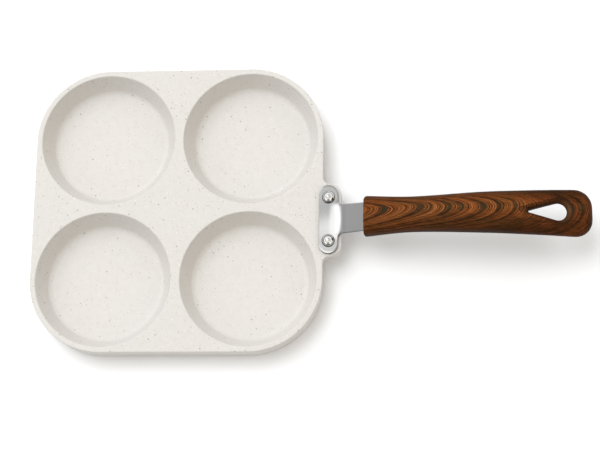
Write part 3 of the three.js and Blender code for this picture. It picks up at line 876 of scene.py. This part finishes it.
grip = {
    "places": (0.0, 30.0 * mm, 75.0 * mm, 131.0 * mm),  # from the front face
    "widths": (26.3 * mm, 22.6 * mm, 25.9 * mm, 30.3 * mm),
    "thicknesses": (19.0 * mm, 17.5 * mm, 18.0 * mm, 12.4 * mm),
    "risePlaces": (0.0, 30.0 * mm, 75.0 * mm, 105.0 * mm, 131.0 * mm),
    "rises": (0.0, 4.0 * mm, 7.6 * mm, 6.1 * mm, 2.8 * mm, 0.1 * mm),  # the last one is at the end
    "lift": 0.05 * mm,  # of the front's centre over the tongue
    "frontRound": 2.5 * mm,
    "tailCorner": 11.2 * mm,
    "tailRound": 5.2 * mm,
    "squareness": 2.5,  # exponent of the section: 2 is an ellipse
    "throat": (105.1 * mm, 1.2 * mm, 122.4 * mm, 5.6 * mm),  # tip, its radius, eye, its radius
    "mouth": (99.0 * mm, 1.8 * mm, 123.7 * mm, 8.9 * mm),
    "throatLift": 2.5 * mm,
    "bevel": 1.3,  # exponent of the hole's wall: 1 is an ellipse, 2 a straight bevel
    "slotHalf": 9.55 * mm,
    "slotHeight": 1.3 * mm,
    "slotCorner": 0.4 * mm,
    "slotBulge": 0.06 * mm,  # of its sides, so that its end has no face of zero area
    "slotDepth": 12.0 * mm,
    "screwAt": 20.0 * mm,
    "bore": 4.3 * mm,
    "boreSeat": 3.7 * mm,  # below the tongue's middle
    "boreRound": 0.35 * mm,
    "boreMouth": 8.0 * mm,  # below the tongue's middle
    "boreShift": 0.9 * mm,  # of its mouth along the grip, because the screw leans
    "boreReach": 7.5 * mm,  # of the skin that is led to its rim
    "boreRows": 7,  # in that skin
    "ringSteps": 44,
}


# Smooth curve through stations, with slopes taken from the neighbours.
def smoothThrough(places, values, at):
    x, y = np.array(places, float), np.array(values, float)
    slope = np.gradient(y, x, edge_order=1)
    slope[1:-1] = (y[2:] - y[:-2]) / (x[2:] - x[:-2])
    i = np.clip(np.searchsorted(x, at) - 1, 0, len(x) - 2)
    span = x[i + 1] - x[i]
    t = np.clip((at - x[i]) / span, 0, 1)
    start = (1 + 2 * t) * (1 - t) ** 2 * y[i] + t * (1 - t) ** 2 * span * slope[i]
    return start + t * t * (3 - 2 * t) * y[i + 1] + t * t * (t - 1) * span * slope[i + 1]


# Half width, half thickness and centre height of the grip at a distance from its front face.
def gripSection(at):
    def shrink(radius, past):
        depth = np.clip(past, 0, radius)
        return radius - np.sqrt(np.maximum(radius * radius - depth * depth, 0))

    front = shrink(grip["frontRound"], grip["frontRound"] - at)
    corner = shrink(grip["tailCorner"], at - (gripLength - grip["tailCorner"]))
    tail = shrink(grip["tailRound"], at - (gripLength - grip["tailRound"]))
    half = smoothThrough(grip["places"], grip["widths"], at) / 2 - front - corner
    thick = smoothThrough(grip["places"], grip["thicknesses"], at) / 2 - front - tail
    rise = smoothThrough(grip["risePlaces"] + (gripLength,), grip["rises"], at)
    return half, thick, tongueHeight(gripLow.x) + grip["lift"] + rise


# Height of the skin over or under the centre at a place across the grip.
def skinDepth(at, y):
    half, thick, _ = gripSection(at)
    share = np.clip(1 - np.abs(y / half) ** grip["squareness"], 0, 1)
    return thick * share ** (1 / grip["squareness"])


# Upper half of a teardrop from its tip to the far end of its eye: arc, common tangent, arc.
def teardrop(tip, tipRadius, eye, eyeRadius):
    tangent = math.pi / 2 + math.asin((eyeRadius - tipRadius) / (eye - tip))
    first = np.linspace(math.pi, tangent, 14)
    second = np.linspace(tangent, 0, 34)
    tipArc = asPoints(tip + tipRadius * np.cos(first), tipRadius * np.sin(first))
    eyeArc = asPoints(eye + eyeRadius * np.cos(second), eyeRadius * np.sin(second))
    straight = np.linspace(tipArc[-1], eyeArc[0], 22)[1:-1]
    line = np.concatenate([tipArc, straight, eyeArc])
    line[[0, -1], 1] = 0
    return line


# One half of the skin. A section is a superellipse, and its upper and lower lines start at the hole's mouth
# where the hole is, and on the centre line elsewhere.
def gripHalf(at, mouthHalf, sign):
    half, thick, centre = (v[:, None] for v in gripSection(at))
    start = np.arccos(np.clip(mouthHalf[:, None] / half, 0, 1) ** (grip["squareness"] / 2))
    angle = start * np.linspace(1, -1, 2 * grip["ringSteps"] + 1)
    power = 2 / grip["squareness"]
    y = half * np.abs(np.cos(angle)) ** power
    z = thick * np.sign(np.sin(angle)) * np.abs(np.sin(angle)) ** power
    y[:, [0, -1]] = mouthHalf[:, None]
    step = np.hypot(np.diff(y, axis=1), np.diff(z, axis=1))
    girth = np.concatenate([y[:, :1], y[:, :1] + np.cumsum(step, axis=1)], axis=1)
    points = asPoints(gripLow.x + at[:, None], handleLine + sign * y, centre + z)
    return points, asPoints(points[..., 0], sign * girth)


# Screw bore from below: the skin round its rim, a rounded rim, its wall and its seat.
# A ring of the skin is led from the loop of grid points round the bore to the rim.
def screwBore(loop):
    pitch = bracket["pitch"]
    screwX = gripLow.x + grip["screwAt"]
    angle = np.arctan2(loop[:, 1] - handleLine, loop[:, 0] - screwX - grip["boreShift"])

    def ringAt(radius, drop):  # about the screw's axis, at a distance below the tongue
        x, y = radius * np.cos(angle), radius * np.sin(angle)
        return asPoints(screwX + x * math.cos(pitch) + drop * math.sin(pitch), handleLine + y,
                        tongueHeight(screwX) + x * math.sin(pitch) - drop * math.cos(pitch))

    def onSkin(points):
        at = points[..., 0] - gripLow.x
        z = gripSection(at)[2] - skinDepth(at, points[..., 1] - handleLine)
        return lifted(points, z)

    soft, drop = grip["boreRound"], grip["boreMouth"]
    mouth = onSkin(ringAt(grip["bore"] + soft, drop))
    rows = [rowsBetween(loop, mouth, np.linspace(0, 1, grip["boreRows"]))]
    rows[0][1:-1] = onSkin(rows[0][1:-1])
    rim = onSkin(ringAt(grip["bore"], drop)) + np.array([0, 0, soft])
    shares = [np.array([1 - math.sin(a), 1 - math.sin(a), math.cos(a)]) for a in quarter[2::2]]
    rows.append(np.stack([rim + (mouth - rim) * share for share in shares]))
    seat = ringAt(grip["bore"], grip["boreSeat"])
    rows.append(rowsBetween(rim, seat, np.linspace(0, 1, 7)[1:]))
    rows.append(np.stack([ringAt(grip["bore"] * s, grip["boreSeat"]) for s in (0.7, 0.4, 0.0)]))
    return np.concatenate(rows)


# Wall of the hanging hole: flattened quarter ellipses from the upper mouth in to the throat and out below.
def holeWall(mouth, throat):
    mirror = np.array([1, -1])
    edge = np.concatenate([mouth, mouth[-2:0:-1] * mirror])
    neck = np.concatenate([throat, throat[-2:0:-1] * mirror])
    depth, centre = skinDepth(edge[:, 0], edge[:, 1]), gripSection(edge[:, 0])[2]
    rows, deep = [], []
    for side, angles in ((1, quarter), (-1, quarter[-2::-1])):
        for angle in angles:
            deep.append([math.sin(angle)])
            inward = abs(math.sin(angle)) ** grip["bevel"]
            upward = abs(math.cos(angle)) ** grip["bevel"]
            plan = edge + (neck - edge) * inward
            z = centre + grip["throatLift"] + upward * (side * depth - grip["throatLift"])
            rows.append(asPoints(gripLow.x + plan[:, 0], handleLine + plan[:, 1], z))
    rows = np.stack(rows)
    return gridPatch(rows, asPoints(rows[..., 0], rows[..., 1] - handleLine), wrap=True, mark=deep)


# Half the slot's outline at even steps, from its upper middle to its lower one.
def slotLine():
    slot = roundedLine([
        (0, grip["slotHeight"], 0),
        (grip["slotHalf"], grip["slotHeight"], grip["slotCorner"]),
        (grip["slotHalf"] + grip["slotBulge"], 0, 1 * mm),
        (grip["slotHalf"], -grip["slotHeight"], grip["slotCorner"]),
        (0, -grip["slotHeight"], 0),
    ], 6)
    way = np.concatenate([[0], np.cumsum(np.linalg.norm(np.diff(slot, axis=0), axis=1))])
    spread = np.linspace(0, way[-1], 2 * grip["ringSteps"] + 1)
    return asPoints(np.interp(spread, way, slot[:, 0]), np.interp(spread, way, slot[:, 1]))


# On one side: the front face with the slot of the tongue, the slot's end, and the flat end of the tail.
def gripEnds(points, sign):
    slot, depth = slotLine(), grip["slotDepth"]
    opening = asPoints(gripLow.x, handleLine + sign * slot[:, 0], tongueHeight(gripLow.x) + slot[:, 1])
    inner = opening + np.array([depth, 0, depth * math.tan(bracket["pitch"])])
    face = rowsBetween(points[0], opening, np.linspace(0, 1, 5))
    face = np.concatenate([face, rowsBetween(opening, inner, (0.5, 1))])
    patches = [gridPatch(face, flip=sign > 0, mark=1.0)]
    for end, flip, mark in ((inner, sign > 0, 1.0), (points[-1], sign < 0, 0.0)):
        upper, lower = end[:grip["ringSteps"] + 1], end[:grip["ringSteps"] - 1:-1]
        patches.append(gridPatch(rowsBetween(upper, lower, (0, 0.5, 1)), flip=flip, mark=mark))
    return patches


def makeGrip():
    mouth, throat = teardrop(*grip["mouth"]), teardrop(*grip["throat"])
    front = grip["frontRound"] * (1 - np.cos(quarter))
    body = np.linspace(grip["frontRound"], mouth[0, 0], 84)[1:-1]
    tail = mouth[-1, 0] + (gripLength - mouth[-1, 0]) * np.sin(np.linspace(0, math.pi / 2, 30))[1:]
    at = np.concatenate([front, body, mouth[:, 0], tail])
    mouthHalf = np.concatenate([0 * front, 0 * body, mouth[:, 1], 0 * tail])
    (left, leftUv), (right, rightUv) = (gripHalf(at, mouthHalf, sign) for sign in (1, -1))

    # Cells that the screw bore takes the place of, on the underside.
    boreAt, reach, steps = grip["screwAt"] + grip["boreShift"], grip["boreReach"], grip["ringSteps"]
    firstRow = int(np.argmax(at > boreAt - reach))
    lastRow = int(np.argmax(at > boreAt + reach))
    lower = left[(firstRow + lastRow) // 2, steps:, 1] - handleLine
    firstCol = steps + int(np.argmax(lower < reach))
    taken = np.zeros((len(at) - 1, 2 * steps), bool)
    taken[firstRow:lastRow, firstCol:] = True
    patches = [gridPatch(left, leftUv, skip=taken), gridPatch(right, rightUv, flip=True, skip=taken)]

    leftLoop = np.concatenate([
        left[firstRow, :firstCol:-1], left[firstRow:lastRow, firstCol], left[lastRow, firstCol:],
    ])
    rightLoop = np.concatenate([
        right[lastRow, -2:firstCol:-1], right[lastRow:firstRow:-1, firstCol], right[firstRow, firstCol:-1],
    ])
    bore = screwBore(np.concatenate([leftLoop, rightLoop]))
    depth = np.ones((len(bore), 1))
    depth[:grip["boreRows"]] = 0
    lowest = np.interp(bore[..., 0] - gripLow.x, at, leftUv[:, -1, 1])
    girth = lowest - np.abs(bore[..., 1] - handleLine)  # as on the skin, from the upper centre line
    middle = len(leftLoop)
    rightCols = np.append(np.arange(middle - 1, bore.shape[1]), 0)
    for sign, cols in ((1, np.arange(middle)), (-1, rightCols)):
        uv = asPoints(bore[..., 0], sign * girth)
        patches.append(gridPatch(bore[:, cols], uv[:, cols], flip=True, mark=depth))

    patches.append(holeWall(mouth, throat))
    patches += gripEnds(left, 1) + gripEnds(right, -1)
    makePiece("wood_grip", "handle_grip", "wood_print", patches)


makeGrip()

for node in ("grip_screw", "screw_spring_washer"):
    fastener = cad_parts[node]
    fastener.data.materials.clear()
    fastener.data.materials.append(paints["plated_steel"])
print("fasteners: screw and spring washer plated")


# Stage

stage = {
    "floorSize": 6.0,
    "floorTone": (0.915, 0.917, 0.93, 1.0),
    "floorGlow": 0.05,
    "keyWay": (-0.345, 0.40, 0.849),  # towards the softbox
    "keyFar": 4.0,
    "keySize": (3.2, 3.2),
    "keyPower": 100.5,
    "keyTint": (0.945, 0.98, 1.0),
    "strip": 0.8,
    "stripWay": (-0.36, 0.30, 0.885),  # towards a long soft strip, its length across the handle
    "stripSpread": (0.075, 0.35),  # across the strip and along it
    "skyLevels": (0.0, 0.25, 0.5, 0.75, 1.0),  # sine of height
    "skyTones": {  # at those heights, on each side of the pan
        "right": (0.12, 0.6, 1.2, 0.66, 0.7),
        "left": (0.12, 0.4, 1.35, 0.46, 0.7),
        "back": (0.12, 0.4, 1.35, 0.55, 0.7),
        "front": (0.1, 0.6, 1.75, 1.45, 0.7),
    },
    "overhead": 0.98,
    "panelEdge": (0.185, 1.5, 9.0),  # place, slant and sharpness of the overhead panel's edge
    "cardSide": (0.5, 0.62),  # towards -Y a card dims the sky between these shares of the way
    "cardHalf": 0.5,  # and to each side
    "card": 0.78,
    "warmSide": (1.0, 0.945, 0.83, 1.0),
}


def makeFloor():
    half = stage["floorSize"] / 2
    mesh = bpy.data.meshes.new("floor")
    corners = [(-half, -half, 0), (half, -half, 0), (half, half, 0), (-half, half, 0)]
    mesh.from_pydata(corners, [], [(0, 1, 2, 3)])
    paint = newPaint("floor", Base_Color=stage["floorTone"], Roughness=0.9, Specular_IOR_Level=0.1)
    paint.set(Emission_Color=(1, 1, 1, 1), Emission_Strength=stage["floorGlow"])
    mesh.materials.append(paint.block)
    floor = addObject("floor", mesh)


# Softbox at the upper left of the picture, kept out of the reflections: the steel mirrors the sky alone.
def makeSoftbox():
    key = bpy.data.lights.new("softbox", "AREA")
    key.shape = "RECTANGLE"
    key.size, key.size_y = stage["keySize"]
    key.energy = stage["keyPower"]
    key.color = stage["keyTint"]
    out = Vector(stage["keyWay"]).normalized()
    lamp = addObject("softbox", key)
    lamp.location = out * stage["keyFar"]
    lamp.visible_glossy = False
    lamp.rotation_euler = out.to_track_quat("Z", "Y").to_euler()


# Sky: grey tones by height on four sides, a long soft strip, a bright panel overhead whose edge runs
# aslant, a dark card behind the camera and a warm side away from the softbox.
def makeSky():
    world = bpy.data.worlds.new("studio")
    bpy.context.scene.world = world
    sky = Paint(world, "Background")
    sight = sky.node("TexCoord")
    x, y, z = (sky.part(sight, axis) for axis in "XYZ")
    flatWay = x * x + y * y + 1e-6
    tone = 0.0
    for name, way in (("right", x), ("left", -x), ("back", y), ("front", -y)):
        stops = greys(zip(stage["skyLevels"], stage["skyTones"][name]))
        tone = tone + sky.ramp(stops, z) * (sky.clamp(way) ** 2.0 / flatWay)
    low, high = stage["cardSide"]
    card = sky.clamp((-y - low) / (high - low)) * stage["card"]
    card = card * sky.clamp(2.0 - abs(x) * (2.0 / stage["cardHalf"]))
    start, slant, sharp = stage["panelEdge"]
    panel = sky.clamp((start - y - x * slant) * sharp) * sky.clamp(z * 6.5 - 4.9)
    panel = panel * sky.clamp(x * 6.0 + 3.0) * sky.clamp(1.4 - x * 6.0) * sky.clamp(y * 8.0 + 0.8)
    out = Vector(stage["stripWay"]).normalized()
    side = Vector((0, 1, 0)).cross(out).normalized()
    length = out.cross(side)
    narrow, tall = stage["stripSpread"]
    across = (x * side.x + z * side.z) / narrow
    along = (x * length.x + y * length.y + z * length.z) / tall
    strip = sky.maths("EXPONENT", (across * across + along * along) * -0.5)
    warmth = sky.clamp((x - y) * 0.6 + 0.25)
    sky.set(Color=sky.mix(warmth, (1, 1, 1, 1), stage["warmSide"]))
    sky.set(Strength=tone * (1 - card) + panel * stage["overhead"] + strip * stage["strip"])


camera = {
    "place": (163.96 * mm, -274.61 * mm, 1011.70 * mm),
    "turn": (math.radians(14.794), math.radians(4.636), math.radians(0.666)),
    "lens": 96.0,
    "sensor": 36.0,
}


def makeCamera():
    data = bpy.data.cameras.new("photo_view")
    data.lens = camera["lens"]
    data.sensor_width = camera["sensor"]
    view = addObject("photo_view", data)
    view.location = camera["place"]
    view.rotation_euler = camera["turn"]
    bpy.context.scene.camera = view


makeFloor()
makeSoftbox()
makeSky()
makeCamera()
bpy.context.scene.view_settings.view_transform = "Standard"
print("stage: floor, light and camera")
